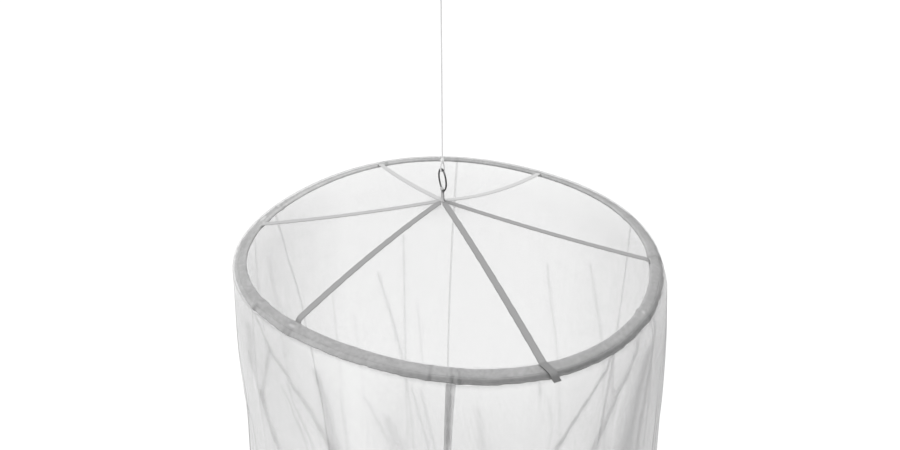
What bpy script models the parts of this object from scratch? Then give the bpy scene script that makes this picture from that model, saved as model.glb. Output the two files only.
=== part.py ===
"""Mosquito net canopy with its hoop, hung by a cord.

Metres, +Z up. The origin is where the cord's top loop bears on its hook, and the canopy's
opening faces -Y. Angles are degrees about the hoop's centre, anticlockwise from +X seen from above.
"""

import math
from collections import namedtuple

import bmesh
import bpy
from mathutils import Euler, Vector

UP = Vector((0.0, 0.0, 1.0))
SIDEWAYS = Vector((1.0, 0.0, 0.0))

# Overall
HOOK_TO_HOOP = 0.420  # origin down to the hoop's centre
HOOP_OFFSET_X = 0.008  # the hoop's centre stands this far from the cord
NET_DROP = 2.150  # hoop's centre down to the level hem
GAP = 0.0003  # between pieces that touch
LAYER_GAP = 0.0005  # between sheets that lie on each other, before their facets close it up
CLOTH = 0.001  # thickness of every sheet

# Hoop: a sprung rod, a little oval, twisted and out of level
HOOP_RADIUS = 0.320
HOOP_TWIST = 0.0031
HOOP_TWIST_ANGLE = 58.9
HOOP_TILT = (-1.64, 0.26)  # about X and Y
ROD_RADIUS = 0.002

# Casing: a flattened sleeve round the rod, slit along its lower outer side
CASING_HALF_WIDTH = 0.0100
CASING_HALF_HEIGHT = 0.0033
CASING_TILT = 7.1  # outer edge down
CASING_FLAT = CASING_HALF_WIDTH - CASING_HALF_HEIGHT
CASING_JOINT_ANGLE = 293.2
CASING_JOINT_GAP = 0.0006
CASING_UPPER_LIP = -28.0  # turns about the rounded outer edge, 0 at its outermost
CASING_LOWER_LIP = -40.0

# Roof and tapes
APEX_ABOVE_HOOP = 0.063
ROOF_INNER_RADIUS = 0.006
ROOF_SAG = 0.006  # of the net midway between two tapes
GORE_GAP = 0.0007  # between two gores, under the tape that joins them
ROOF_EDGE_TURN = 8.0  # where it ends round the casing's outer edge
TAPE_WIDTH = 0.010
TAPE_INNER_RADIUS = 0.004
TAPE_TAIL_SLOPE = 0.30
TAPE_WEDGE = 27.5  # half the angle that each of the six tapes has to itself at the apex
SPAN_STEPS = 6
NARROWEST = 0.4  # degrees of hoop that a strip of the roof may be narrow

# Ring and the loop of tape that holds it
RING_RADIUS = 0.0174
RING_WIRE_RADIUS = 0.0013
RING_ABOVE_HOOP = 0.1018
RING_PLANE_ANGLE = 107.0
LOOP_TAPE_WIDTH = 0.009
LOOP_FOOT_ABOVE_APEX = 0.0032
LOOP_ACROSS = (-0.5, -0.25, 0.0, 0.25, 0.5)  # shares of the tape's width

# Cord: an eye through the ring, a taut run between two knots, and a loop for the hook
CORD_RADIUS = 0.00125
CORD_STEPS = 12
CORD_PAIR = 1.25 * CORD_RADIUS  # each of two strands stands this far from the middle at a knot
EYE_RADIUS = RING_WIRE_RADIUS + GAP + CORD_RADIUS
EYE_HEIGHT = 0.011
KNOT_HEIGHT = 0.008
KNOT_RADIUS = 0.0036
KNOT_SHAPE = (0.0, 0.45, 0.8, 1.0, 1.0, 0.8, 0.45, 0.0)  # shares of its radius, top to bottom
TOP_LOOP_HEIGHT = 0.044
TOP_LOOP_HALF_WIDTH = 0.009

# Wall
FLARE = 0.200
FLARE_DEPTH = 1.43
SEAM_SETTLE = 0.45  # depth by which a slanting seam has swung two thirds of its way
WALL_ROWS = 11
ROW_CROWDING = 1.35  # rows lie closer together near the hoop
FOLD_GROWTH = 0.9  # a fold opens a little faster than the depth grows
FOLD_SWING = 3.0  # a fold stands at its hem angle from a third of the way down
OPENING_LAP = 1.0  # degrees that each front edge passes the front seam
LAP_STEP = 0.0020

Bend = namedtuple("Bend", "waves angle size")
HOOP_BENDS = (  # times round the hoop, where it bulges most, metres: the wire is not evenly bent
    Bend(2, -33.6, 0.0103),
    Bend(3, -30.7, 0.0030),
    Bend(4, 16.9, 0.0047),
)

LoopPoint = namedtuple("LoopPoint", "width height")
TOP_LOOP_SIDE = (  # shares of the loop's half width and height, from above its knot to its crown
    LoopPoint(0.72, 0.35),
    LoopPoint(1.00, 0.72),
    LoopPoint(0.62, 0.94),
)

Tape = namedtuple("Tape", "name angle belly tail")
TAPES = (
    Tape("right", 345.6, -0.004, 0.004),
    Tape("back_right", 51.5, -0.012, 0.003),
    Tape("back_left", 116.9, -0.005, 0.003),
    Tape("left", 175.3, -0.004, 0.004),
    Tape("front_left", 230.6, 0.007, 0.003),
    Tape("front_right", 290.3, 0.005, 0.010),
)

Panel = namedtuple("Panel", "name seam_top seam_low columns")
PANELS = (  # each begins at its seam and ends at the next one's
    Panel("back_right", 13.2, 19.0, 18),
    Panel("back_left", 86.8, 90.5, 20),
    Panel("left", 162.3, 139.5, 12),
    Panel("front_left", 216.8, 219.0, 14),
    Panel("front_right", 270.4, 269.5, 12),
    Panel("right", 321.8, 317.0, 14),
)

Fold = namedtuple("Fold", "angle_top angle_hem half_width height")
FOLDS = (
    Fold(9, 13, 9.5, 0.044),
    Fold(27, 32, 8.0, 0.030),
    Fold(46, 49, 10.5, 0.050),
    Fold(66, 67, 8.0, 0.028),
    Fold(82, 85, 9.0, 0.040),
    Fold(101, 103, 8.5, 0.032),
    Fold(120, 113, 9.0, 0.046),
    Fold(138, 128, 8.0, 0.027),
    Fold(156, 143, 9.5, 0.042),
    Fold(175, 163, 9.0, 0.036),
    Fold(192, 183, 8.0, 0.028),
    Fold(208, 204, 10.0, 0.048),
    Fold(224, 224, 8.0, 0.030),
    Fold(243, 243, 9.5, 0.040),
    Fold(258, 259, 7.5, 0.022),
    Fold(283, 281, 8.5, 0.034),
    Fold(300, 296, 9.0, 0.046),
    Fold(316, 312, 8.0, 0.030),
    Fold(334, 331, 10.0, 0.044),
    Fold(352, 352, 8.5, 0.032),
)


def clear_scene():
    for item in list(bpy.data.objects):
        bpy.data.objects.remove(item, do_unlink=True)


def make_collection(name):
    collection = bpy.data.collections.new(name)
    bpy.context.scene.collection.children.link(collection)
    return collection


def make_material(name, colour, roughness, metallic=0.0):
    material = bpy.data.materials.new(name)
    material.use_nodes = True
    shader = material.node_tree.nodes["Principled BSDF"]
    shader.inputs["Base Color"].default_value = (*colour, 1.0)
    shader.inputs["Roughness"].default_value = roughness
    shader.inputs["Metallic"].default_value = metallic
    return material


def mix(low, high, share):
    return low + (high - low) * share


def angle_between(first, second):
    return (second - first) % 360.0


# The hoop's line and the section of its casing


def hoop_centre():
    return Vector((HOOP_OFFSET_X, 0.0, -HOOK_TO_HOOP))


def hoop_point(angle):
    turn = math.radians(angle)
    radius = HOOP_RADIUS
    for bend in HOOP_BENDS:
        radius += bend.size * math.cos(bend.waves * (turn - math.radians(bend.angle)))
    height = HOOP_TWIST * math.cos(2 * (turn - math.radians(HOOP_TWIST_ANGLE)))
    level = Vector((radius * math.cos(turn), radius * math.sin(turn), height))
    tilt = Euler((math.radians(HOOP_TILT[0]), math.radians(HOOP_TILT[1]), 0.0))
    return hoop_centre() + tilt.to_matrix() @ level


def hoop_outward(angle):
    """The level direction away from the hoop, square to its line."""
    along = hoop_point(angle + 0.5) - hoop_point(angle - 0.5)
    return Vector((along.y, -along.x, 0.0)).normalized()


def section_point(angle, outward, above):
    """A point of the casing's section: outward and above are measured on the tilted sleeve."""
    tilt = math.radians(CASING_TILT)
    level = outward * math.cos(tilt) + above * math.sin(tilt)
    rise = above * math.cos(tilt) - outward * math.sin(tilt)
    return hoop_point(angle) + level * hoop_outward(angle) + rise * UP


def round_edge(offset, side, turns):
    """Points round one edge of the sleeve; a turn of 90 is the top and 0 the edge itself."""
    radius = CASING_HALF_HEIGHT + offset
    return [
        (side * (CASING_FLAT + radius * math.cos(math.radians(t))), radius * math.sin(math.radians(t)))
        for t in turns
    ]


def over_casing(offset):
    """The way from the sleeve's inner top, across it and down round its outer edge."""
    height = CASING_HALF_HEIGHT + offset
    way = [(-CASING_FLAT, height), (0.0, height)]
    return way + round_edge(offset, 1, (90.0, 48.0, ROOF_EDGE_TURN))


def casing_stations():
    stations = []
    for index, panel in enumerate(PANELS):
        end = PANELS[(index + 1) % len(PANELS)].seam_top
        span = angle_between(panel.seam_top, end)
        steps = panel.columns // 2
        stations += [panel.seam_top + span * step / steps for step in range(steps)]
    return stations + [CASING_JOINT_ANGLE]


# Meshes


def sheet_object(name, rows, material, collection, thickness=CLOTH, offset=0.0):
    """A grid of points, row by row, thickened to a closed sheet."""
    mesh = bpy.data.meshes.new(name)
    width = len(rows[0])
    points = [point for row in rows for point in row]
    faces = []
    for row in range(len(rows) - 1):
        for column in range(width - 1):
            corner = row * width + column
            faces.append((corner, corner + 1, corner + width + 1, corner + width))
    mesh.from_pydata(points, [], faces)
    mesh.shade_smooth()
    mesh.materials.append(material)
    sheet = bpy.data.objects.new(name, mesh)
    collection.objects.link(sheet)
    shell = sheet.modifiers.new("Thickness", "SOLIDIFY")
    shell.thickness = thickness
    shell.offset = offset
    return sheet


def tube_object(name, points, radius, material, collection, closed=False):
    curve = bpy.data.curves.new(name, "CURVE")
    curve.dimensions = "3D"
    curve.bevel_depth = radius
    curve.bevel_resolution = 2
    curve.use_fill_caps = not closed
    spline = curve.splines.new("POLY")
    spline.points.add(len(points) - 1)
    for spline_point, point in zip(spline.points, points):
        spline_point.co = (*point, 1.0)
    spline.use_cyclic_u = closed
    curve.materials.append(material)
    tube = bpy.data.objects.new(name, curve)
    collection.objects.link(tube)
    return tube


def turned_object(name, profile, place, material, collection, steps=14):
    """A profile of (radius, height) pairs from the top down, turned about Z."""
    mesh = bpy.data.meshes.new(name)
    mesh.from_pydata([(radius, 0.0, height) for radius, height in profile],
                     [(step, step + 1) for step in range(len(profile) - 1)], [])
    mesh.materials.append(material)
    turned = bpy.data.objects.new(name, mesh)
    turned.location = place
    collection.objects.link(turned)
    screw = turned.modifiers.new("Turn", "SCREW")
    screw.steps = steps
    screw.render_steps = steps
    screw.use_merge_vertices = True
    screw.merge_threshold = 0.00005
    screw.use_smooth_shade = True
    return turned


def smooth_path(route, steps):
    """Points along a Catmull-Rom curve through the route's own points."""
    knots = [route[0] * 2 - route[1], *route, route[-1] * 2 - route[-2]]
    path = []
    for first, start, end, last in zip(knots, knots[1:], knots[2:], knots[3:]):
        for step in range(steps):
            t = step / steps
            path.append(0.5 * (2 * start + (end - first) * t
                               + (2 * first - 5 * start + 4 * end - last) * t ** 2
                               + (3 * start - 3 * end + last - first) * t ** 3))
    return path + [route[-1]]


# Hoop and casing


def build_hoop(material, collection):
    line = [hoop_point(angle) for angle in sorted(angle % 360.0 for angle in casing_stations())]
    tube_object("hoop_rod", line, ROD_RADIUS, material, collection, closed=True)


def casing_section():
    """The sleeve's outer face from the lower lip of its slit, round the inner edge, to the upper."""
    outer_lower = round_edge(0.0, 1, (CASING_LOWER_LIP, -90.0))
    inner = round_edge(0.0, -1, (-90.0, -30.0, 30.0, 90.0))
    outer_upper = round_edge(0.0, 1, (90.0, 50.0, 10.0, CASING_UPPER_LIP))
    return outer_lower + inner + outer_upper


def build_casing(material, collection):
    half_gap = math.degrees(CASING_JOINT_GAP / HOOP_RADIUS / 2)
    ordered = sorted(angle_between(CASING_JOINT_ANGLE, angle) for angle in casing_stations())
    turns = [half_gap, *ordered[1:], 360.0 - half_gap]
    stations = [CASING_JOINT_ANGLE + turn for turn in turns]
    rows = [[section_point(angle, *spot) for spot in casing_section()] for angle in stations]
    sheet_object("hoop_casing", rows, material, collection, offset=-1.0)


# Roof net and its tapes


def apex_point():
    return UP * (APEX_ABOVE_HOOP - HOOK_TO_HOOP)


def tape_neighbours(angle):
    """The two tapes beside an angle, and how far the angle lies from the first to the second."""
    for index, tape in enumerate(TAPES):
        following = TAPES[(index + 1) % len(TAPES)]
        span = angle_between(tape.angle, following.angle)
        share = angle_between(tape.angle, angle) / span
        if share <= 1.0:
            return tape, following, share
    raise ValueError("no tapes stand beside this angle")


def roof_belly(angle):
    tape, following, share = tape_neighbours(angle)
    eased = (1 - math.cos(math.pi * share)) / 2
    return mix(tape.belly, following.belly, eased) - ROOF_SAG * math.sin(math.pi * share)


def roof_line(angle, offset, belly):
    """One line of the roof from the apex to the hoop and over the casing."""
    over = [section_point(angle, *spot) for spot in over_casing(offset)]
    apex = apex_point() + UP * offset
    reach = (over[0] - apex).xy.length
    line = []
    for step in range(SPAN_STEPS):
        share = mix(ROOF_INNER_RADIUS / reach, 1.0, step / SPAN_STEPS)
        point = apex.lerp(over[0], share)
        point.z += 4 * belly * share * (1 - share)
        line.append(point)
    return line + over


def gore_angles(start, end):
    span = angle_between(start, end)
    inside = sorted(angle_between(start, angle) for angle in casing_stations())
    return [start] + [start + a for a in inside if NARROWEST < a < span - NARROWEST] + [start + span]


def level_square_to(direction):
    return Vector((-direction.y, direction.x, 0.0)).normalized()


def shift_sideways(line, distance):
    """Moves a line level and square to its own run, to its left."""
    sideways = level_square_to(line[-1] - line[0]) * distance
    return [point + sideways for point in line]


def build_roof(material, collection):
    offset = LAYER_GAP + CLOTH / 2
    for index, tape in enumerate(TAPES):
        following = TAPES[(index + 1) % len(TAPES)]
        lines = [roof_line(angle, offset, roof_belly(angle % 360.0))
                 for angle in gore_angles(tape.angle, following.angle)]
        lines[0] = shift_sideways(lines[0], GORE_GAP / 2)
        lines[-1] = shift_sideways(lines[-1], -GORE_GAP / 2)
        name = f"roof_gore_{tape.name}_to_{following.name}"
        sheet_object(name, lines, material, collection)


def tape_line(tape):
    offset = 2 * LAYER_GAP + 1.5 * CLOTH
    line = roof_line(tape.angle, offset, tape.belly)
    apex = apex_point() + UP * offset
    line.insert(0, apex.lerp(line[0], TAPE_INNER_RADIUS / ROOF_INNER_RADIUS))
    outward = hoop_outward(tape.angle)
    for share in (0.5, 1.0):
        drop = tape.tail * share
        line.append(line[-1] + outward * TAPE_TAIL_SLOPE * drop - UP * drop)
    return line


def tape_half_width(radius):
    """A tape narrows to a wedge where the six meet at the apex."""
    return min(TAPE_WIDTH / 2, radius * math.tan(math.radians(TAPE_WEDGE)) - GAP)


def build_tapes(material, collection):
    for tape in TAPES:
        line = tape_line(tape)
        across_span = level_square_to(line[-1] - line[0])
        across_hoop = level_square_to(hoop_outward(tape.angle))
        rows = []
        for index, point in enumerate(line):
            across = across_span if index <= SPAN_STEPS else across_hoop
            half = tape_half_width((point - apex_point()).xy.length)
            rows.append([point - across * half, point + across * half])
        sheet_object(f"roof_tape_{tape.name}", rows, material, collection)


# Wall


def flare(depth):
    return FLARE * (1 - math.exp(-depth / FLARE_DEPTH))


def fold_height(angle, depth_share):
    growth = depth_share ** FOLD_GROWTH
    total = 0.0
    for fold in FOLDS:
        middle = mix(fold.angle_top, fold.angle_hem, min(1.0, depth_share * FOLD_SWING))
        away = (angle - middle + 180.0) % 360.0 - 180.0
        if abs(away) < fold.half_width:
            total += fold.height * growth * (1 + math.cos(math.pi * away / fold.half_width)) / 2
    return total


def wall_point(angle_top, angle_low, depth_share, step_out):
    edge = section_point(angle_top, CASING_HALF_WIDTH + GAP + CLOTH / 2, -GAP)
    hem = -HOOK_TO_HOOP - NET_DROP
    depth = (edge.z - hem) * depth_share
    angle = mix(angle_top, angle_low, 1 - math.exp(-depth / SEAM_SETTLE))
    foot = section_point(angle, CASING_HALF_WIDTH + GAP + CLOTH / 2, -GAP)
    out = flare(depth) + fold_height(angle, depth_share) + step_out
    point = foot + out * hoop_outward(angle)
    point.z = edge.z - depth
    return point


def build_wall(material, collection):
    seam_gap = math.degrees(GAP / HOOP_RADIUS)
    for index, panel in enumerate(PANELS):
        following = PANELS[(index + 1) % len(PANELS)]
        span_top = angle_between(panel.seam_top, following.seam_top)
        span_low = angle_between(panel.seam_low, following.seam_low)
        front_lap = panel.name == "front_right"
        start_shift = -OPENING_LAP if front_lap else seam_gap
        end_shift = OPENING_LAP if following.name == "front_right" else -seam_gap
        columns = []
        for column in range(panel.columns + 1):
            share = column / panel.columns
            shift = start_shift * (column == 0) + end_shift * (column == panel.columns)
            top = panel.seam_top + span_top * share + shift
            low = panel.seam_low + span_low * share + shift
            step_out = LAP_STEP * max(0.0, 1 - share * 3) if front_lap else 0.0
            columns.append([wall_point(top, low, (row / WALL_ROWS) ** ROW_CROWDING, step_out)
                            for row in range(WALL_ROWS + 1)])
        sheet_object(f"wall_panel_{panel.name}", columns, material, collection)


# Ring, its loop of tape, and the cord


def ring_centre():
    return UP * (RING_ABOVE_HOOP - HOOK_TO_HOOP)


def build_ring(material, collection):
    plane = math.radians(RING_PLANE_ANGLE)
    bpy.ops.mesh.primitive_torus_add(
        major_radius=RING_RADIUS, minor_radius=RING_WIRE_RADIUS, major_segments=40,
        minor_segments=8, location=ring_centre(), rotation=(math.radians(90.0), 0.0, plane))
    ring = bpy.context.object
    ring.name = "metal_ring"
    ring.data.name = "metal_ring"
    ring.data.shade_smooth()
    ring.data.materials.append(material)
    for holder in list(ring.users_collection):
        holder.objects.unlink(ring)
    collection.objects.link(ring)


def build_ring_loop(material, collection):
    """A short loop of tape over the ring's lowest wire, its two ends down on the tapes."""
    wire = ring_centre() - UP * RING_RADIUS
    foot = apex_point().z + LOOP_FOOT_ABOVE_APEX - wire.z
    bend = RING_WIRE_RADIUS + LAYER_GAP + CLOTH / 2
    across = across_ring()
    along = level_square_to(across)
    way = [(-bend, foot, 0.0)]
    way += [(-bend * math.cos(math.radians(turn)), bend * math.sin(math.radians(turn)), 1.0)
            for turn in range(0, 181, 30)]
    way.append((bend, foot, 0.0))
    rows = []
    for aside, height, hugs_wire in way:
        row = []
        for share in LOOP_ACROSS:
            reach = LOOP_TAPE_WIDTH * share
            rise = RING_RADIUS - math.sqrt(RING_RADIUS ** 2 - reach ** 2)
            lift = UP * (height + rise * hugs_wire)
            row.append(wire + across * aside + along * reach + lift)
        rows.append(row)
    sheet_object("ring_loop", rows, material, collection)


def across_ring():
    """The level direction square to the ring's plane."""
    plane = math.radians(RING_PLANE_ANGLE)
    return Vector((math.sin(plane), -math.cos(plane), 0.0))


def knot_profile():
    steps = len(KNOT_SHAPE) - 1
    return [(KNOT_RADIUS * share, KNOT_HEIGHT * (0.5 - index / steps))
            for index, share in enumerate(KNOT_SHAPE)]


def cord_eye_route():
    """Down one side of the ring's top wire, under it and up the other side."""
    across = across_ring()
    wire = ring_centre() + UP * RING_RADIUS
    half_way = UP * EYE_HEIGHT / 2 + across * EYE_RADIUS
    route = [wire + UP * EYE_HEIGHT - across * CORD_PAIR, wire + half_way - across * 2 * EYE_RADIUS]
    for turn in (180, 225, 270, 315, 360):
        out = across * math.cos(math.radians(turn)) + UP * math.sin(math.radians(turn))
        route.append(wire + EYE_RADIUS * out)
    return route + [wire + half_way, wire + UP * EYE_HEIGHT + across * CORD_PAIR]


def top_loop_route():
    """Up one side of the loop, over its crown at the hook and down the other side."""
    foot = CORD_RADIUS - TOP_LOOP_HEIGHT
    crown = UP * CORD_RADIUS
    left = [UP * foot - SIDEWAYS * CORD_PAIR]
    right = [UP * foot + SIDEWAYS * CORD_PAIR]
    for spot in TOP_LOOP_SIDE:
        height = UP * mix(foot, CORD_RADIUS, spot.height)
        reach = SIDEWAYS * TOP_LOOP_HALF_WIDTH * spot.width
        left.append(height - reach)
        right.append(height + reach)
    return left + [crown] + right[::-1]


def build_cord(material, collection):
    eye_top = ring_centre().z + RING_RADIUS + EYE_HEIGHT
    lower_knot = eye_top + GAP + KNOT_HEIGHT / 2
    upper_knot = CORD_RADIUS - TOP_LOOP_HEIGHT - GAP - KNOT_HEIGHT / 2
    past_knot = KNOT_HEIGHT / 2 + GAP
    heights = [mix(lower_knot + past_knot, upper_knot - past_knot, step / CORD_STEPS)
               for step in range(CORD_STEPS + 1)]

    tube_object("cord_eye", smooth_path(cord_eye_route(), 2), CORD_RADIUS, material, collection)
    turned_object("cord_knot_lower", knot_profile(), UP * lower_knot, material, collection)
    tube_object("cord", [UP * height for height in heights], CORD_RADIUS, material, collection)
    turned_object("cord_knot_upper", knot_profile(), UP * upper_knot, material, collection)
    tube_object("cord_top_loop", smooth_path(top_loop_route(), 3), CORD_RADIUS, material, collection)


clear_scene()
canopy = make_collection("mosquito_net_canopy")
net = make_material("Net", (0.80, 0.80, 0.80), 0.85)
tape_cloth = make_material("Tape", (0.52, 0.52, 0.52), 0.80)
casing_cloth = make_material("Casing", (0.58, 0.58, 0.58), 0.80)
steel = make_material("Hoop steel", (0.55, 0.55, 0.56), 0.35, 1.0)
ring_steel = make_material("Ring steel", (0.30, 0.30, 0.31), 0.30, 1.0)
cord_yarn = make_material("Cord", (0.86, 0.86, 0.85), 0.75)

build_hoop(steel, canopy)
build_casing(casing_cloth, canopy)
build_roof(net, canopy)
build_tapes(tape_cloth, canopy)
build_wall(net, canopy)
build_ring(ring_steel, canopy)
build_ring_loop(tape_cloth, canopy)
build_cord(cord_yarn, canopy)
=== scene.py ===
import math
from collections import namedtuple

import bmesh
import bpy
import numpy as np
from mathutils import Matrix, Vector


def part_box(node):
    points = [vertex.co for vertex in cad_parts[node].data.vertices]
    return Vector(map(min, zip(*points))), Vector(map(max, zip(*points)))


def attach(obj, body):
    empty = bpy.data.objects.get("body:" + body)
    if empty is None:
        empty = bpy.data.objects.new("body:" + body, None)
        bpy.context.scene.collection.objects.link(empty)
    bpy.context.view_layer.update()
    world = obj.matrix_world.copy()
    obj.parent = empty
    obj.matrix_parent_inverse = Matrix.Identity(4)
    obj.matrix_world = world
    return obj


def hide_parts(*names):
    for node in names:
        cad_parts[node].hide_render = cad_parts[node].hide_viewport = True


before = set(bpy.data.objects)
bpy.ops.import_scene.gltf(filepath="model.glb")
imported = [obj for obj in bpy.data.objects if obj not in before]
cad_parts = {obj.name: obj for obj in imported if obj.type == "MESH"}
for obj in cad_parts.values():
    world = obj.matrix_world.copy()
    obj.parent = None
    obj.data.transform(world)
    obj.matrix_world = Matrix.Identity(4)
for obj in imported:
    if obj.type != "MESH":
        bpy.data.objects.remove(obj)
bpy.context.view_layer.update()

# Camera. It stands close in front of the canopy, a little above the ceiling hook's height, and looks
# down into the hoop, so that the top of the cord and the foot of the wall lie outside the view.
VIEW_FROM = (0.0116, -0.751, 0.0549)
VIEW_TURN = 58.78  # degrees up from straight down
VIEW_LENS = 21.52

camera_data = bpy.data.cameras.new("camera")
camera_data.lens = VIEW_LENS
camera_data.sensor_width = 36.0
camera_data.clip_start = 0.02
camera = bpy.data.objects.new("camera", camera_data)
camera.location = VIEW_FROM
camera.rotation_euler = (math.radians(VIEW_TURN), 0.0, 0.0)
bpy.context.collection.objects.link(camera)
bpy.context.scene.camera = camera


# Hoop. A ring of 4 mm drawn spring steel, a little oval and out of level, hidden in its casing.
# The casing, roof and wall are sewn round it, so its line is read from the rod itself.
HOOP_HARMONICS = 6  # waves round the hoop that its line is read with

Metal = namedtuple("Metal", "dull bright roughness grain")  # two greys, how rough, and patches a metre
HOOP_STEEL = Metal(0.30, 0.34, 0.30, 60.0)

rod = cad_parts["hoop_rod"]
hoop_centre = np.array([0.008, 0.0, -0.420])  # below the ceiling hook and a little to one side


def waves_round(angle):
    turn = np.radians(np.asarray(angle, float))
    waves = [np.ones_like(turn)]
    for order in range(1, HOOP_HARMONICS + 1):
        waves += [np.cos(order * turn), np.sin(order * turn)]
    return np.stack(waves, axis=-1)


def read_hoop_line():
    """The waves of the rod's radius and height as they change with the angle."""
    points = np.array([vertex.co for vertex in rod.data.vertices]) - hoop_centre * (1, 1, 0)
    angle = np.degrees(np.arctan2(points[:, 1], points[:, 0]))
    known = np.stack([np.hypot(points[:, 0], points[:, 1]), points[:, 2]], axis=-1)
    return np.linalg.lstsq(waves_round(angle), known, rcond=None)[0]


hoop_waves = read_hoop_line()


def hoop_point(angle):
    turn = np.radians(np.asarray(angle, float))
    radius, height = np.moveaxis(waves_round(angle) @ hoop_waves, -1, 0)
    return np.stack([hoop_centre[0] + radius * np.cos(turn),
                     hoop_centre[1] + radius * np.sin(turn), height], axis=-1)


def unit(vectors):
    return vectors / np.linalg.norm(vectors, axis=-1, keepdims=True)


def hoop_outward(angle):
    """The level direction away from the hoop, square to its line."""
    along = hoop_point(np.asarray(angle) + 0.5) - hoop_point(np.asarray(angle) - 0.5)
    return unit(np.stack([along[..., 1], -along[..., 0], np.zeros(along.shape[:-1])], axis=-1))


class Field:
    """A socket of a material's nodes that can be calculated with; plain numbers join in."""

    def __init__(self, tree, socket=None):
        self.tree = tree
        self.socket = socket

    def node(self, kind, settings=None, inputs=None, output=0):
        added = self.tree.nodes.new(kind)
        for name, value in (settings or {}).items():
            setattr(added, name, value)
        for name, value in (inputs or {}).items():
            self.feed(added.inputs[name], value)
        return Field(self.tree, added.outputs[output])

    def feed(self, socket, value):
        if isinstance(value, Field):
            self.tree.links.new(value.socket, socket)
        else:
            socket.default_value = value

    def sums(self, operation, *values):
        return self.node("ShaderNodeMath", {"operation": operation}, dict(enumerate(values)))

    def __add__(self, other):
        return self.sums("ADD", self, other)

    def __radd__(self, other):
        return self.sums("ADD", other, self)

    def __sub__(self, other):
        return self.sums("SUBTRACT", self, other)

    def __rsub__(self, other):
        return self.sums("SUBTRACT", other, self)

    def __mul__(self, other):
        return self.sums("MULTIPLY", self, other)

    def __rmul__(self, other):
        return self.sums("MULTIPLY", other, self)

    def __rpow__(self, other):
        return self.sums("POWER", other, self)

    def cos(self):
        return self.sums("COSINE", self)

    def clamped(self):
        return self.sums("MINIMUM", self.sums("MAXIMUM", self, 0.0), 1.0)

    def between(self, low, high):
        """0 below low and 1 above high, with a soft step from one to the other."""
        return self.node("ShaderNodeMapRange", {"interpolation_type": "SMOOTHSTEP"},
                         {"Value": self, "From Min": low, "From Max": high})

    def blend(self, *colours):
        """The first colour where this field is 0 and the second where it is 1."""
        first, second = (colour if isinstance(colour, Field) else (*colour, 1.0) for colour in colours)
        return self.node("ShaderNodeMix", {"data_type": "RGBA"}, {0: self, 6: first, 7: second}, 2)

    def shade(self, name):
        """A shade that the mesh carries at its points."""
        return self.node("ShaderNodeAttribute", {"attribute_name": name}, output=2)

    def cloth_place(self):
        """Metres across and along the cloth, as it lies flat."""
        return self.node("ShaderNodeUVMap", {"uv_map": "Cloth"})

    def split(self):
        parts = self.node("ShaderNodeSeparateXYZ", None, {0: self}).socket.node
        return [Field(self.tree, parts.outputs[index]) for index in range(2)]

    def noise(self, place, scale, detail=2.0):
        return self.node("ShaderNodeTexNoise", None,
                         {"Vector": place, "Scale": scale, "Detail": detail})

    def bump(self, distance, strength):
        return self.node("ShaderNodeBump", None,
                         {"Height": self, "Distance": distance, "Strength": strength})


def new_material(name):
    """A material, a field to grow its nodes from, and its shader's sockets."""
    material = bpy.data.materials.new(name)
    material.use_nodes = True
    shader = material.node_tree.nodes["Principled BSDF"]
    return material, Field(material.node_tree), shader.inputs


def greys(*tones):
    return [(tone, tone, tone) for tone in tones]


def steel_finish(name, metal):
    """Drawn wire: fine streaks and a few dull patches."""
    material, start, shader = new_material(name)
    place = start.node("ShaderNodeTexCoord", output=3)
    streaks = start.noise(place, scale=metal.grain * 6.0, detail=3.0)
    patches = start.noise(place, scale=metal.grain)
    bright = (streaks * 0.45 + patches * 0.55).between(0.35, 0.65)
    start.feed(shader["Base Color"], bright.blend(*greys(metal.dull, metal.bright)))
    start.feed(shader["Roughness"], metal.roughness + (1 - bright) * 0.18)
    start.feed(shader["Normal"], streaks.bump(distance=0.00004, strength=0.4))
    shader["Metallic"].default_value = 1.0
    return material


rod.data.materials[0] = steel_finish("hoop_steel", HOOP_STEEL)


# Casing. A flat sleeve of woven binding round the rod. Its outer third is the seam allowance, where
# roof, wall and binding are stitched together, so it lies lower and stiffer than the rest. It is
# painted darker there, partly for the doubled cloth and partly as painted shade on the outer, lower
# side; painted light brightens the binding where it turns in, along the back and on the left.
CASING_RADIUS = 0.32  # about, for lengths along the sleeve
CASING_HALF_WIDTH = 0.0100
CASING_HALF_HEIGHT = 0.0033
CASING_TILT = 7.1  # degrees, outer edge down
CASING_JOINT = 291.0  # degrees of the hoop at which the sleeve's two ends meet
CASING_JOINT_GAP = 0.0006
CASING_STATIONS = 900
CASING_TONES = greys(0.215, 0.315)
# lighter tones of painted light
CASING_PAINTED_LIGHT_TONES = greys(0.40, 0.56)
# darker tones of the seam allowance: partly its doubled cloth, partly painted shade
CASING_SEAM_AND_SHADE_TONES = greys(0.062, 0.100)
BINDING_PITCH = 0.0007

CASING_OUTLINE = (  # outward and above, in millimetres: from the outer edge over the top to the inner
    # edge and back below
    (10, -0.3), (9.5, 0.7), (7.6, 1.5), (5.2, 2), (3.7, 2.2), (3, 2.6), (0.4, 3.3), (-4, 3.4),
    (-7.5, 2.9), (-9.5, 1.5), (-10, -0.2), (-9.4, -1.9), (-7.1, -3.1), (-2.6, -3.3), (3, -2.9),
    (3.7, -2.4), (7.5, -2), (9.5, -1.5),
)
CASING_ROUND = 4  # points from one corner to the next

Wobble = namedtuple("Wobble", "waves phase size")
CASING_PUCKERS = (  # times round the hoop, degrees and metres
    Wobble(23, 40, 0.00022),
    Wobble(61, 200, 0.00018),
    Wobble(97, 120, 0.00016),
    Wobble(149, 310, 0.00012),
)

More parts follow.
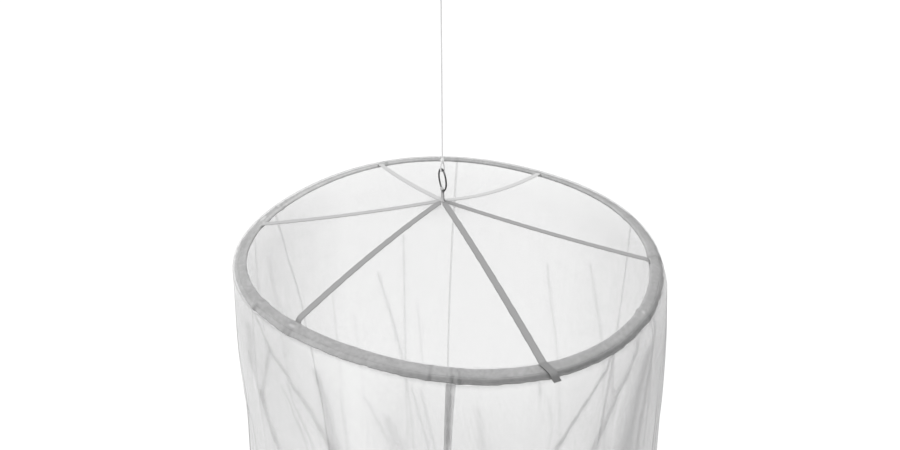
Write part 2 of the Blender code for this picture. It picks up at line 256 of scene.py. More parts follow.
Bump = namedtuple("Bump", "angle width rise shade")
# The dark mark beside each bump is partly the seam and partly painted shade beside the lump.
CASING_BUMPS = [Bump(*row) for row in (  # seams and tape ends under the binding: degrees, degrees,
    # metres, darkness
    (11, 1.3, 0.0009, 0.40), (53, 1.3, 0.0012, 0.55), (86.5, 1, 0.0008, 0.60),
    (114.5, 1.5, 0.0014, 0.65), (162, 1.4, 0.0012, 0.45), (171, 2.3, 0.0014, 0.15),
    (183.5, 1.6, 0.0006, 0.20), (217, 1.2, 0.0011, 0.60), (229.5, 1.4, 0.0009, 0.35),
    (231, 0.9, 0.0009, 0.35), (247.5, 1.2, 0.0004, 0.25), (266.5, 0.7, 0.0005, 0.50),
    (271, 0.6, 0.0006, 0.50), (272.5, 0.6, 0.0005, 0.45), (291, 1.3, 0.0006, 0.55),
    (322.5, 0.9, 0.0012, 0.30), (348.5, 1.8, 0.0010, 0.50),
)]

CASING_STRETCHES = (  # places round the hoop; then how dark the seam allowance is painted, partly its doubled cloth and partly painted shade, darkest at the front right, away from the light; how much painted light brightens the binding; and how much wider its outer half is sewn, in metres
    # washed-out the binding is, and how much wider its outer half is sewn, in metres
    (0, 0.30, 0, 0), (20, 0.08, 0, 0), (45, 0.07, 0, -0.0015), (90, 0.05, 0, 0),
    (120, 0, 0.17, -0.0020), (160, 0, 0.18, -0.0015), (200, 0, 0.03, -0.0025), (230, 0.10, 0, 0),
    (250, 0.10, 0, 0), (260, 0.48, 0, 0), (280, 0.80, 0, 0.0010), (300, 1, 0, 0.0010),
    (315, 0.90, 0, 0), (340, 0.48, 0, 0),
)
PAINTED_LIGHT_SHARES = (0.5, 3.0)  # of a stretch's painted light: all over, and added where the binding turns in, against the shade on its inner side

Step = namedtuple("Step", "place softness")  # metres out from the hoop's line; below 0 it rises inward
OUTER_HALF = Step(0.0, 0.0010)
FLANGE = Step(0.0032, 0.00035)  # the stitched seam allowance
# the outermost lip, where the painted shade of the seam allowance eases off
OUTER_LIP = Step(0.0088, 0.0005)
TURNED_IN = Step(-0.0055, -0.0012)
ALLOWANCE_START = 0.0050  # from the hoop's line out to where the seam allowance begins to show
ALLOWANCE_SPREAD = 0.0009  # the darkest stretch of it begins this much nearer
ALLOWANCE_SOFTNESS = 0.0007
ALLOWANCE_PAINTED_LIGHT = 0.25  # painted light that brightens it where it isn't dark, against the shade of its rounded outer edge
OUTER_LIP_EASING = 0.5  # of its painted darkness that the outermost lip loses
PUCKER_SLANT = 70.0  # degrees of phase from the hoop's line to the outer edge
PUCKER_SHARES = (0.45, 0.75)  # of a pucker's size: all over, and added on the flange
BUMP_SLANT = 0.4  # degrees of the hoop that it falls back by at the outer edge
MARK_SLANT = 0.3  # and that its dark mark runs ahead by
MARK_WIDTH = 0.55  # of its bump's
MARK_SHARES = (0.55, 0.45)  # of its darkness: all over, and added on the flange
STITCH_ROW = 0.0037
STITCH_HALF_WIDTH = 0.0004
STITCH_DEPTH = 0.00018
STITCH_WAVES = 6.2  # radians of wave to a degree of the hoop


def section_point(angle, outward, above):
    """Points of the casing's section, in metres on the tilted sleeve from the hoop's line."""
    tilt = math.radians(CASING_TILT)
    level = outward * math.cos(tilt) + above * math.sin(tilt)
    rise = above * math.cos(tilt) - outward * math.sin(tilt)
    point = hoop_point(angle) + np.asarray(level)[..., None] * hoop_outward(angle)
    point[..., 2] += rise
    return point


def curve(before, start, end, after, share):
    """Points of a smooth line from the start to the end, which heads on for its neighbours."""
    return 0.5 * (2 * start + (end - before) * share
                  + (2 * before - 5 * start + 4 * end - after) * share ** 2
                  + (3 * start - 3 * end + after - before) * share ** 3)


def round_closed(corners, steps):
    """A smooth closed line through the corners."""
    before, start, end, after = (np.roll(corners, turn, 0)[:, None] for turn in (1, 0, -1, -2))
    share = np.arange(steps)[:, None] / steps
    return curve(before, start, end, after, share).reshape(-1, 2)


def nearest_turn(angle, middle):
    """Degrees from the middle to the angle, the short way round."""
    return (np.asarray(angle) - middle + 180.0) % 360.0 - 180.0


def hump(away, half_width):
    return np.exp(-(away / half_width) ** 2)


def past(outward, step):
    """0 before the step and 1 beyond it."""
    return 1 / (1 + np.exp(-(outward - step.place) / step.softness))


def round_hoop(angle, places, values):
    """What lies between values that are known at some places of the hoop."""
    return np.interp(angle, places, values, period=360.0)


def cap_ends(mesh, rows, columns):
    """A face over the first row of a tube and one over its last."""
    form = bmesh.new()
    form.from_mesh(mesh)
    form.verts.ensure_lookup_table()
    form.faces.new([form.verts[column] for column in range(columns)])
    last = (rows - 1) * columns
    form.faces.new([form.verts[last + column] for column in reversed(range(columns))])
    form.to_mesh(mesh)
    form.free()


def cloth_mesh(name, grid, across, along, shades=None, closed=False, joined_ends=False,
               material=None):
    """An object over a grid of points; closed joins its last column to its first, and joined_ends
    its last row to its first. Across and along are metres on the flat cloth."""
    rows, columns = grid.shape[:2]
    row_ends = rows if joined_ends else rows - 1
    column_ends = columns if closed else columns - 1
    across, along = np.broadcast_arrays(across, along)
    row, column = np.meshgrid(np.arange(row_ends), np.arange(column_ends), indexing="ij")
    corners = [(row, column), (row, column + 1), (row + 1, column + 1), (row + 1, column)]
    vertices = np.stack([r % rows * columns + c % columns for r, c in corners], axis=-1).reshape(-1)
    places = np.stack([r * across.shape[1] + c for r, c in corners], axis=-1).reshape(-1)

    mesh = bpy.data.meshes.new(name)
    mesh.vertices.add(rows * columns)
    mesh.vertices.foreach_set("co", grid.astype(np.float32).reshape(-1))
    mesh.loops.add(len(vertices))
    mesh.loops.foreach_set("vertex_index", vertices.astype(np.int32))
    mesh.polygons.add(len(vertices) // 4)
    mesh.polygons.foreach_set("loop_start", np.arange(0, len(vertices), 4, dtype=np.int32))
    mesh.update(calc_edges=True)
    cloth = mesh.uv_layers.new(name="Cloth")
    flat = np.stack([across.reshape(-1)[places], along.reshape(-1)[places]], axis=-1)
    cloth.data.foreach_set("uv", flat.astype(np.float32).reshape(-1))
    for shade, values in (shades or {}).items():
        layer = mesh.attributes.new(shade, "FLOAT", "POINT")
        everywhere = np.broadcast_to(values, grid.shape[:2])
        layer.data.foreach_set("value", everywhere.astype(np.float32).reshape(-1))
    if closed and not joined_ends:
        cap_ends(mesh, rows, columns)
    mesh.shade_smooth()
    mesh.materials.append(material)
    piece = bpy.data.objects.new(name, mesh)
    bpy.context.collection.objects.link(piece)
    return piece


def woven(place, pitch):
    """The ups and downs of a plain weave, from 0 to 1."""
    across, along = place.split()
    turns = 2 * math.pi / pitch
    return (across * turns).cos() * (along * turns).cos() * 0.5 + 0.5


def binding_finish():
    material, start, shader = new_material("casing_binding")
    place = start.cloth_place()
    weave = woven(place, BINDING_PITCH)
    mottle = start.noise(place, scale=190.0, detail=3.0)
    broad = start.noise(place, scale=34.0)
    mix = (weave * 0.2 + mottle * 0.5 + broad * 0.3).between(0.32, 0.68)
    # darker where the seam allowance lies: partly the doubled cloth, partly painted shade on the outer,
    # lower side
    seam_and_shade = start.shade("seam_and_painted_shade")
    # painted light where the binding turns in, along the back and left, and on its outer edge, offsetting
    # its shade
    painted_lit_tone = mix.blend(*CASING_PAINTED_LIGHT_TONES)
    base_tone = mix.blend(*CASING_TONES)
    light = start.shade("painted_lit").blend(base_tone, painted_lit_tone)
    dark = mix.blend(*CASING_SEAM_AND_SHADE_TONES)
    start.feed(shader["Base Color"], seam_and_shade.blend(light, dark))
    start.feed(shader["Roughness"], 0.74 + mottle * 0.2)
    start.feed(shader["Normal"], (weave + mottle * 0.6).bump(distance=0.00012, strength=0.6))
    shader["Specular IOR Level"].default_value = 0.25
    return material


def closed_steps(points):
    """Metres along a closed line at each of its points, and its whole length at the end."""
    steps = np.linalg.norm(np.roll(points, -1, 0) - points, axis=1)
    return np.concatenate([[0.0], np.cumsum(steps)])


def make_casing():
    half_gap = math.degrees(CASING_JOINT_GAP / CASING_RADIUS / 2)
    angle = np.linspace(CASING_JOINT + half_gap, CASING_JOINT + 360.0 - half_gap, CASING_STATIONS)
    outline = round_closed(CASING_OUTLINE, CASING_ROUND) / 1000.0
    outward, above = (outline[:, side] for side in range(2))
    station = angle[:, None]
    spread = np.zeros((len(angle), len(outline)))
    places, *known = np.transpose(CASING_STRETCHES)
    darkness, brightening, wider = (round_hoop(station, places, values) for values in known)
    width = 1 + wider * past(outward, OUTER_HALF) / CASING_HALF_WIDTH
    on_flange = past(outward, FLANGE)
    # the seam allowance's darkening: partly its doubled cloth, partly painted shade on the outer, lower
    # side, darkest at the front right, away from the light
    in_allowance = past(outward, Step(ALLOWANCE_START - ALLOWANCE_SPREAD * darkness, ALLOWANCE_SOFTNESS))
    shade = in_allowance * darkness * (1 - OUTER_LIP_EASING * past(outward, OUTER_LIP))
    # painted light: brighter where the binding turns in, along the back and the left, and where the seam
    # allowance isn't dark, offsetting its shade
    painted_lit = brightening * (PAINTED_LIGHT_SHARES[0] + PAINTED_LIGHT_SHARES[1] * past(outward, TURNED_IN))
    painted_lit = painted_lit + ALLOWANCE_PAINTED_LIGHT * in_allowance * np.clip(1 - 2 * darkness, 0.0, 1.0)
    across = outward / CASING_HALF_WIDTH
    for pucker in CASING_PUCKERS:
        wave = np.cos(np.radians(pucker.waves * station + pucker.phase + across * PUCKER_SLANT))
        spread = spread + pucker.size * wave * (PUCKER_SHARES[0] + PUCKER_SHARES[1] * on_flange)
    for bump in CASING_BUMPS:
        near = hump(nearest_turn(station, bump.angle - across * BUMP_SLANT), bump.width)
        # its dark mark: partly the seam, partly painted shade beside the lump
        mark = hump(nearest_turn(station, bump.angle + across * MARK_SLANT), bump.width * MARK_WIDTH)
        spread = spread + bump.rise * near
        shade = shade + bump.shade * mark * (MARK_SHARES[0] + MARK_SHARES[1] * on_flange)
    stitches = hump(outward - STITCH_ROW, STITCH_HALF_WIDTH) * (1 + np.cos(station * STITCH_WAVES))
    grow = 1 + (spread - STITCH_DEPTH * stitches) / np.hypot(outward, above)
    grid = section_point(station, outward * grow * width, above * grow)
    return cloth_mesh("casing_sleeve", grid, closed_steps(outline), np.radians(station) * CASING_RADIUS,
                      {"seam_and_painted_shade": np.clip(shade, 0, 1), "painted_lit": np.clip(painted_lit, 0, 1)},
                      closed=True, material=binding_finish())


casing = make_casing()
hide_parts("hoop_casing")
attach(casing, "root")


# Roof. Six wedges of the same net as the wall, stretched from the apex over the casing to its outer
# edge, and joined under the tapes. Each dips a little between its two tapes.
APEX_ABOVE_HOOP = 0.063
ROOF_HEIGHT = 0.0010  # of the net's middle above the casing and the apex
ROOF_INNER_RADIUS = 0.006
ROOF_SAG = 0.006
ROOF_EDGE_TURN = 8.0  # degrees above level at which it ends, on the round of the casing's outer edge
ROOF_FLAT_SHARE = 0.7  # of its way over the casing that lies on top of it
ROOF_ROWS = 84
ROOF_OVER_ROWS = 10
ROOF_COLUMN_STEP = 0.55  # degrees of the hoop
GORE_GAP = 0.0007
GORE_EDGE = 0.03  # share of its width over which it keeps clear of its neighbour
ROOF_LAYERS = 1.08  # as dense as so many layers of the wall, stretched as it is
APEX_LAYERS = 1.6  # added where the wedges meet at the apex
APEX_REACH = 0.030
EDGE_LAYERS = 1.2  # added where it is turned over the casing
NET_COVER = 0.130  # share of the light that one layer stops
NET_TONES = greys(0.150, 0.200)
NET_PITCH = 0.0014
NET_CONTRAST = 0.7
NET_THREAD = 0.473  # share of the cloth that the threads' soft edges take
NET_THREAD_EDGE = (-1.2, 0.3)  # the sum of the three waves where a thread ends and where a hole begins
NET_DRAPE = (1.0, 0.05, 1.0)  # draws the streaks out along the fall of the cloth

Tape = namedtuple("Tape", "name angle belly tail lean faded cut")
TAPES = (  # a tape with a tail shows over the casing, leaning so many degrees; the sixth number, from 0 to 1, is painted light that lightens its tone; the last number is the length that it is cut to
    # the last number is the length that it is cut to
    Tape("right", 345.6, -0.004, 0.0, 0.0, 0.10, 0.350),
    Tape("back_right", 51.5, -0.012, 0.0, 0.0, 0.75, 0.360),
    Tape("back_left", 116.9, -0.005, 0.0, 0.0, 0.60, 0.345),
    Tape("left", 175.3, -0.004, 0.0, 0.0, 0.35, 0.340),
    Tape("front_left", 230.6, 0.007, 0.0, 0.0, 0.0, 0.335),
    Tape("front_right", 290.3, 0.005, 0.0055, 1.3, 0.0, 0.350),
)
ROOF_RIPPLES = (  # times round the hoop, degrees and metres at the middle of the roof
    Wobble(31, 20, 0.0008),
    Wobble(53, 140, 0.0006),
    Wobble(83, 260, 0.0004),
)
ROOF_RIPPLE_PARTS = 12  # from each edge they come up over one of so many parts of a wedge's width


def net_finish():
    """Knitted net of six-sided holes; layers says how many lie on each other."""
    material, start, shader = new_material("net")
    place = start.cloth_place()
    across, along = place.split()
    turns = 2 * math.pi / NET_PITCH
    slant = across * (0.5 * turns)
    rise = along * (math.sqrt(0.75) * turns)
    holes = (across * turns).cos() + (slant + rise).cos() + (slant - rise).cos()
    threads = 1 - holes.between(*NET_THREAD_EDGE)
    drape = start.node("ShaderNodeVectorMath", {"operation": "MULTIPLY"}, {0: place, 1: NET_DRAPE})
    streaks = start.noise(drape, scale=230.0, detail=3.0)
    uneven = start.noise(place, scale=32.0, detail=3.0)
    fine = start.noise(place, scale=900.0, detail=1.0)
    layers = start.shade("layers") * (0.66 + uneven * 0.30 + streaks * 0.38)
    cover = 1 - (1 - NET_COVER) ** layers
    alpha = cover * ((1 - NET_CONTRAST) + threads * (NET_CONTRAST / NET_THREAD))
    start.feed(shader["Alpha"], alpha.clamped())
    start.feed(shader["Base Color"], (fine * 0.6 + uneven * 0.4).between(0.3, 0.7).blend(*NET_TONES))
    start.feed(shader["Roughness"], 0.72 + fine * 0.2)
    start.feed(shader["Normal"], (threads + fine * 0.4).bump(distance=0.0001, strength=0.5))
    shader["Specular IOR Level"].default_value = 0.2
    return material


net = net_finish()


def angle_from(first, second):
    return (second - first) % 360.0


def neighbours(pieces):
    """Each piece round the hoop with the one that follows it."""
    return zip(pieces, pieces[1:] + pieces[:1])


def tape_pair(angle):
    """For each angle, the belly between the two tapes beside it and its share of the way."""
    belly = np.zeros(np.shape(angle))
    share = np.zeros(np.shape(angle))
    for tape, following in neighbours(TAPES):
        span = angle_from(tape.angle, following.angle)
        away = angle_from(tape.angle, angle)
        inside = away <= span
        eased = (1 - np.cos(np.pi * away / span)) / 2
        belly = np.where(inside, tape.belly + (following.belly - tape.belly) * eased, belly)
        share = np.where(inside, away / span, share)
    return belly, share


def over_casing(offset, steps):
    """The way from the sleeve's inner top, across it and down round its outer edge."""
    flat = CASING_HALF_WIDTH - CASING_HALF_HEIGHT
    height = CASING_HALF_HEIGHT + offset
    run = np.linspace(0.0, 1.0, steps)
    turn = np.radians(np.interp(run, (ROOF_FLAT_SHARE, 1.0), (90.0, ROOF_EDGE_TURN)))
    outward = np.interp(run, (0.0, ROOF_FLAT_SHARE), (-flat, flat)) + height * np.cos(turn)
    return outward, height * np.sin(turn)


def roof_lines(angle, offset, belly, span_rows, over_rows, start_radius):
    """Lines from the apex to the hoop and over the casing, one row of points for each angle."""
    angle = np.asarray(angle, float)[:, None]
    over = section_point(angle, *over_casing(offset, over_rows))
    apex = np.array([0.0, 0.0, hoop_centre[2] + APEX_ABOVE_HOOP + offset])
    reach = np.linalg.norm((over[:, 0] - apex)[:, :2], axis=1)[:, None]
    share = start_radius / reach + (1 - start_radius / reach) * np.arange(span_rows) / span_rows
    line = apex + (over[:, :1] - apex) * share[..., None]
    line[..., 2] += 4 * np.asarray(belly)[:, None] * share * (1 - share)
    return np.concatenate([line, over], axis=1), share


def run_length(grid, axis):
    """Metres along each line of a grid, from its first point."""
    steps = np.linalg.norm(np.diff(grid, axis=axis), axis=-1)
    nought = np.zeros_like(np.take(steps, [0], axis=axis))
    return np.concatenate([nought, np.cumsum(steps, axis=axis)], axis=axis)


def make_gore(tape, following):
    span = angle_from(tape.angle, following.angle)
    columns = round(span / ROOF_COLUMN_STEP) + 1
    angle = tape.angle + np.linspace(0.0, span, columns)
    belly, share = tape_pair(angle)
    sag = belly - ROOF_SAG * np.sin(np.pi * share)
    grid, out = roof_lines(angle, ROOF_HEIGHT, sag, ROOF_ROWS, ROOF_OVER_ROWS, ROOF_INNER_RADIUS)
    level = np.stack([-np.sin(np.radians(angle)), np.cos(np.radians(angle)), 0 * angle], axis=-1)
    inward = np.interp(share, (0.0, GORE_EDGE, 1 - GORE_EDGE, 1.0), (0.5, 0.0, 0.0, -0.5))
    grid += (GORE_GAP * inward[:, None] * level)[:, None]
    edges = np.minimum(1.0, ROOF_RIPPLE_PARTS * np.minimum(share, 1 - share))[:, None]
    for ripple in ROOF_RIPPLES:
        height = ripple.size * np.cos(np.radians(ripple.waves * angle + ripple.phase))
        grid[:, :ROOF_ROWS, 2] += height[:, None] * edges * np.sin(np.pi * out) * out
    along = run_length(grid, 1)
    across = np.radians(angle - angle.mean())[:, None] * along
    layers = ROOF_LAYERS + APEX_LAYERS * hump(along, APEX_REACH)
    layers[:, ROOF_ROWS:] += EDGE_LAYERS
    name = f"roof_net_{tape.name}_to_{following.name}"
    gore = cloth_mesh(name, grid, across, along, {"layers": layers}, material=net)
    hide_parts(f"roof_gore_{tape.name}_to_{following.name}")
    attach(gore, "root")


for tape, following in neighbours(TAPES):
    make_gore(tape, following)


# Tapes. Six lengths of 10 mm herringbone tape sewn down over the roof's seams. They narrow to wedges
# where they meet at the apex. Five are tucked under the casing's binding; one ends in a tail over it.
TAPE_WIDTH = 0.010
TAPE_HEIGHT = 0.0025
TAPE_THICK = 0.0007
TAPE_SELVEDGE = 0.0010
TAPE_INNER_RADIUS = 0.004
TAPE_TAIL_SLOPE = 0.30
TAPE_TAIL_DRIFT = 0.55
TAPE_WEDGE = 27.5  # degrees to each side of its middle line, near the apex
TAPE_WEDGE_GAP = 0.0003
TAPE_ROWS = 150
TAPE_OVER_ROWS = 16
TAPE_TAIL_ROWS = 6
TAPE_TONES = greys(0.120, 0.200)
TAPE_TWILL = 0.0016
# lighter tones of painted light
TAPE_PAINTED_LIGHT_TONES = greys(0.323, 0.380)
TAPE_EDGE_SHADE = 0.15  # how much darker the weave is where the selvedge begins
# painted shade on the tape's underside
TAPE_UNDERSIDE_PAINTED_SHADE = 0.1
# the tail, where it crosses the casing and hangs past it, is darker by this
TAPE_TAIL_DARKENING = 0.75
TAPE_TUCK_ROWS = 4
TAPE_TUCK = (  # outward and above on the casing's section, in millimetres: it dives under the binding
    (-13.4, 5.4), (-11.6, 4), (-10, 2), (-8.4, 0.8), (-6, 0.2),
)


def tape_finish():
    """Herringbone weave: a twill that turns back at the middle, between closer selvedges."""
    material, start, shader = new_material("tape_herringbone")
    place = start.cloth_place()
    across, along = place.split()
    turns = 2 * math.pi / TAPE_TWILL
    slope = start.sums("ABSOLUTE", across)
    twill = ((slope + along) * turns).cos() * 0.5 + 0.5
    grain = start.noise(place, scale=700.0)
    edge = start.shade("selvedge_and_shade")
    # the selvedges darken the weave, and so do the painted shade on the underside and the darker tail
    body = (twill * 0.5 + grain * 0.5) * (1 - edge * 0.75)
    base_tone = body.between(0.1, 0.8).blend(*TAPE_TONES)
    # painted light: the tape's lighter tone, blended in by its share
    painted_lit = body.between(0.1, 0.8).blend(*TAPE_PAINTED_LIGHT_TONES)
    start.feed(shader["Base Color"], start.shade("faded").blend(base_tone, painted_lit))
    start.feed(shader["Roughness"], 0.70 + grain * 0.2)
    start.feed(shader["Normal"], (twill + grain * 0.5).bump(distance=0.00015, strength=0.6))
    shader["Specular IOR Level"].default_value = 0.25
    return material


tape_cloth = tape_finish()
TAPE_TOP = (  # shares of the half width and of the thickness, from the right edge to the middle
    (1, 0), (0.96, 0.62), (0.84, 0.66), (0.70, 0.42), (0.35, 0.52),
)
TAPE_UNDERSIDE = ((-0.92, -0.50), (0, -0.50), (0.92, -0.50))
tape_section = np.array([*TAPE_TOP, (0.0, 0.50), *((-side, up) for side, up in TAPE_TOP[::-1]),
                         *TAPE_UNDERSIDE])

Waver = namedtuple("Waver", "size turns")  # metres that hand sewing strays by, and radians a metre
EDGE_WAVERS = (Waver(0.00012, 310.0), Waver(0.00010, 173.0))
LIFT_WAVER = Waver(0.00012, 420.0)


def tape_end(tape, outward):
    """The last stretch of a tape's middle line, over the casing or tucked into it."""
    if not tape.tail:
        share = np.linspace(0.0, 1.0, TAPE_OVER_ROWS + TAPE_TUCK_ROWS)
        way = np.array(TAPE_TUCK) / 1000.0
        steps = np.linspace(0.0, 1.0, len(way))
        return section_point(tape.angle, *(np.interp(share, steps, way[:, side]) for side in range(2)))
    share = np.linspace(0.0, 1.0, TAPE_OVER_ROWS)
    over = section_point(tape.angle + tape.lean * share, *over_casing(TAPE_HEIGHT, TAPE_OVER_ROWS))
    fall = np.linspace(0.0, tape.tail, TAPE_TAIL_ROWS + 1)[1:, None]
    along = np.array([-outward[1], outward[0], 0.0])
    down = outward * TAPE_TAIL_SLOPE + along * TAPE_TAIL_DRIFT - np.array([0.0, 0.0, 1.0])
    return np.concatenate([over, over[-1] + down * fall])


def make_tape(tape):
    line = roof_lines([tape.angle], TAPE_HEIGHT, [tape.belly], TAPE_ROWS, TAPE_OVER_ROWS,
                      TAPE_INNER_RADIUS)[0][0]
    outward = hoop_outward(tape.angle)
    kept = TAPE_ROWS if tape.tail else TAPE_ROWS - TAPE_TUCK_ROWS
    line = np.concatenate([line[:kept], tape_end(tape, outward)])
    along = unit(np.gradient(line, axis=0))
    run = line[TAPE_ROWS] - line[0]
    across = unit(np.array([-run[1], run[0], 0.0]))
    up = unit(np.cross(along, across))
    radius = np.linalg.norm(line[:, :2], axis=1)
    wedge = radius * math.tan(math.radians(TAPE_WEDGE)) - TAPE_WEDGE_GAP
    half = np.minimum(TAPE_WIDTH / 2, wedge)
    metres = run_length(line, 0)
    first, second = EDGE_WAVERS
    wander = first.size * np.cos(metres * first.turns)
    wander += second.size * np.cos(metres * second.turns + tape.angle)
    aside, above = tape_section.T
    side = (half + wander)[:, None] * aside
    waver = LIFT_WAVER.size * np.cos(metres * LIFT_WAVER.turns)[:, None] * abs(aside)
    lift = TAPE_THICK * above + waver
    grid = line[:, None] + across * side[..., None] + up[:, None] * lift[..., None]
    edge_begins = TAPE_WIDTH / 2 - TAPE_SELVEDGE
    shade = np.interp(abs(side), (0.0, edge_begins, TAPE_WIDTH / 2), (0.0, TAPE_EDGE_SHADE, 1.0))
    # painted shade on the underside
    shade = shade + (above < 0) * TAPE_UNDERSIDE_PAINTED_SHADE
    # darker over the tail
    if tape.tail:
        shade[TAPE_ROWS:] += TAPE_TAIL_DARKENING
    places = np.concatenate([side, side[:, :1]], axis=1)
    piece = cloth_mesh(f"tape_{tape.name}", grid, places, metres[:, None],
                       {"selvedge_and_shade": np.clip(shade, 0, 1), "faded": tape.faded},
                       closed=True, material=tape_cloth)
    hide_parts(f"roof_tape_{tape.name}")
    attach(piece, "root")


for tape in TAPES:
    make_tape(tape)


# Ring and its loop. A dull nickel wire ring, drawn a little to a point at the bottom by a short
# loop of the same tape, whose two ends are sewn down on the tapes at the apex.
RING_RADIUS = 0.0174
RING_WIRE = 0.0013
RING_POINT = 0.16  # share by which its lower sides draw in
RING_POINT_POWER = 1.5
RING_PLANE = 109.5  # degrees of the hoop along which it hangs
RING_JOINT = 62.0  # degrees up from its side, where the wire's ends meet
RING_JOINT_DIP = 0.18  # of the wire's radius
RING_JOINT_HALF_WIDTH = 1.6
RING_NICKEL = Metal(0.04, 0.08, 0.30, 240.0)
RING_STEPS = 160
RING_SIDES = 14
LOOP_WIDTH = 0.0088
LOOP_THICK = 0.0008
LOOP_GAP = 0.00046  # from the middle to each side where the two sides are sewn together
LOOP_FOOT = 0.0030
LOOP_ABOVE_APEX = 0.0006
LOOP_CLEAR = 0.0004  # between it and the wire
LOOP_SEWN = (0.18, 0.7)  # the two sides are sewn together between these shares of the way down
LOOP_TURN = 16.0  # degrees that it twists by from the wire to the apex
LOOP_BEND_STEPS = 22
LOOP_SIDE_STEPS = 12
LOOP_PAINTED_LIGHT = (0.80, 0.35)  # painted light that lightens it below, against the shade between its two sides, and at the wire
LOOP_PAINTED_LIGHT_REACH = 0.0060

ring_low, ring_high = (np.array(corner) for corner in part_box("metal_ring"))
ring_middle = (ring_low + ring_high) / 2
ring_along = np.array([math.cos(math.radians(RING_PLANE)), math.sin(math.radians(RING_PLANE)), 0.0])
ring_across = np.array([ring_along[1], -ring_along[0], 0.0])
straight_up = np.array([0.0, 0.0, 1.0])


def frames_along(path, closed=False):
    """Two directions square to a path at each of its points, turning as little as they can."""
    ahead = np.roll(path, -1, 0) - np.roll(path, 1, 0) if closed else np.gradient(path, axis=0)
    ahead = unit(ahead)
    side = np.cross(ahead[0], straight_up if abs(ahead[0][2]) < 0.9 else ring_across)
    sides = []
    for way in ahead:
        side = unit(side - way * side.dot(way))
        sides.append(side)
    sides = np.array(sides)
    return sides, np.cross(ahead, sides)


def swept(name, path, radius, corners, material, closed_path=False):
    """A round wire or strand of so many corners along a path; its radius may change."""
    sides, ups = frames_along(path, closed_path)
    turn = np.arange(corners) / corners * 2 * math.pi
    radius = np.broadcast_to(radius, len(path))[:, None, None]
    side, up = (radius * part[:, None] for part in (np.cos(turn), np.sin(turn)))
    grid = path[:, None] + sides[:, None] * side + ups[:, None] * up
    metres = closed_steps(path)[:len(path) + closed_path]
    around = np.arange(corners + 1) / corners * radius[0, 0] * 2 * math.pi
    return cloth_mesh(name, grid, around[None], metres[:, None], closed=True,
                      joined_ends=closed_path, material=material)


def make_ring():
    turn = np.arange(RING_STEPS) / RING_STEPS * 2 * math.pi
    low = np.clip(-np.sin(turn), 0.0, 1.0)
    width = RING_RADIUS * np.cos(turn) * (1 - RING_POINT * low ** RING_POINT_POWER)
    height = RING_RADIUS * np.sin(turn)
    path = ring_middle + width[:, None] * ring_along + height[:, None] * straight_up
    joint = 1 - RING_JOINT_DIP * hump(np.degrees(turn) - RING_JOINT, RING_JOINT_HALF_WIDTH)
    piece = swept("ring_wire", path, RING_WIRE * joint, RING_SIDES,
                  steel_finish("ring_nickel", RING_NICKEL), closed_path=True)
    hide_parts("metal_ring")
    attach(piece, "root")


def make_ring_loop():
    """The tape goes up one side of the wire, over it and down the other."""
    wire = ring_middle - straight_up * RING_RADIUS
    foot = hoop_centre[2] + APEX_ABOVE_HOOP + LOOP_ABOVE_APEX - wire[2]
    bend = RING_WIRE + LOOP_CLEAR + LOOP_THICK / 2
    turn = np.radians(np.linspace(180.0, 0.0, LOOP_BEND_STEPS))
    arc = np.stack([bend * np.cos(turn), bend * np.sin(turn)], axis=-1)
    rise = np.linspace(foot, 0.0, LOOP_SIDE_STEPS, endpoint=False)
    apart = np.interp(rise / foot, (0.0, *LOOP_SEWN, 1.0), (bend, LOOP_GAP, LOOP_GAP, LOOP_FOOT))
    left = np.stack([-apart, rise], axis=-1)
    way = np.concatenate([left, arc, left[::-1] * (-1, 1)])
    ahead = unit(np.gradient(way, axis=0))
    normal = np.stack([-ahead[:, 1], ahead[:, 0]], axis=-1)
    side_share, thick_share = tape_section.T
    reach = LOOP_WIDTH / 2 * side_share
    hug = (RING_RADIUS - np.sqrt(RING_RADIUS ** 2 - reach ** 2))[None] * (way[:, 1] > 0)[:, None]
    thick = LOOP_THICK * thick_share
    aside = way[:, :1] + normal[:, :1] * thick
    above = way[:, 1:] + normal[:, 1:] * thick + hug
    quarter = np.radians(LOOP_TURN) * np.clip(way[:, 1:] / foot, 0.0, 1.0)
    turned_aside = aside * np.cos(quarter) - reach * np.sin(quarter)
    turned_reach = aside * np.sin(quarter) + reach * np.cos(quarter)
    grid = (wire + ring_across * turned_aside[..., None] + ring_along * turned_reach[..., None]
            + straight_up * above[..., None])
    metres = run_length(way, 0)
    # painted light, most on the stem below the wire
    lit_share = np.interp(way[:, 1], (-LOOP_PAINTED_LIGHT_REACH, 0.0), LOOP_PAINTED_LIGHT)
    edge = np.interp(abs(side_share), (0.0, 0.75, 1.0), (0.0, 0.05, 0.15))
    piece = cloth_mesh("ring_tape_loop", grid, np.append(reach, reach[0]), metres[:, None],
                       {"selvedge_and_shade": edge, "faded": lit_share[:, None]}, closed=True, material=tape_cloth)
    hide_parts("ring_loop")
    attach(piece, "root")


make_ring()
make_ring_loop()


# Cord. White yarn of three twisted strands, 2.5 mm thick. It is looped through the ring and knotted,
# runs up taut, and ends in a second knot and a loop for the ceiling hook.
CORD_DIAMETER = 0.0025
STRAND_RADIUS = 0.00066
STRAND_OFFSET = 0.00060
STRAND_SIDES = 7
STRANDS = 3
CORD_LAY = 0.0085  # metres for one turn of the strands
CORD_STEP = 0.0006
CURVE_STEPS = 40  # from one point of a route to the next
CURVE_LEAST = 8
CORD_TONES = greys(0.52, 0.68)
EYE_RADIUS = 0.00285
EYE_HEIGHT = 0.011
CORD_PAIR = 0.00156
KNOT_HEIGHT = 0.008
KNOT_TURNS = 3
KNOT_WAIST = 0.0017
KNOT_TAPER = 0.78  # share of its half height over a round one's
KNOT_OVAL = 0.96
KNOT_STEPS = 90
KNOT_CORE_STEPS = 14
KNOT_GAP = 0.0003
TOP_LOOP_HEIGHT = 0.044
TOP_LOOP_HALF_WIDTH = 0.009
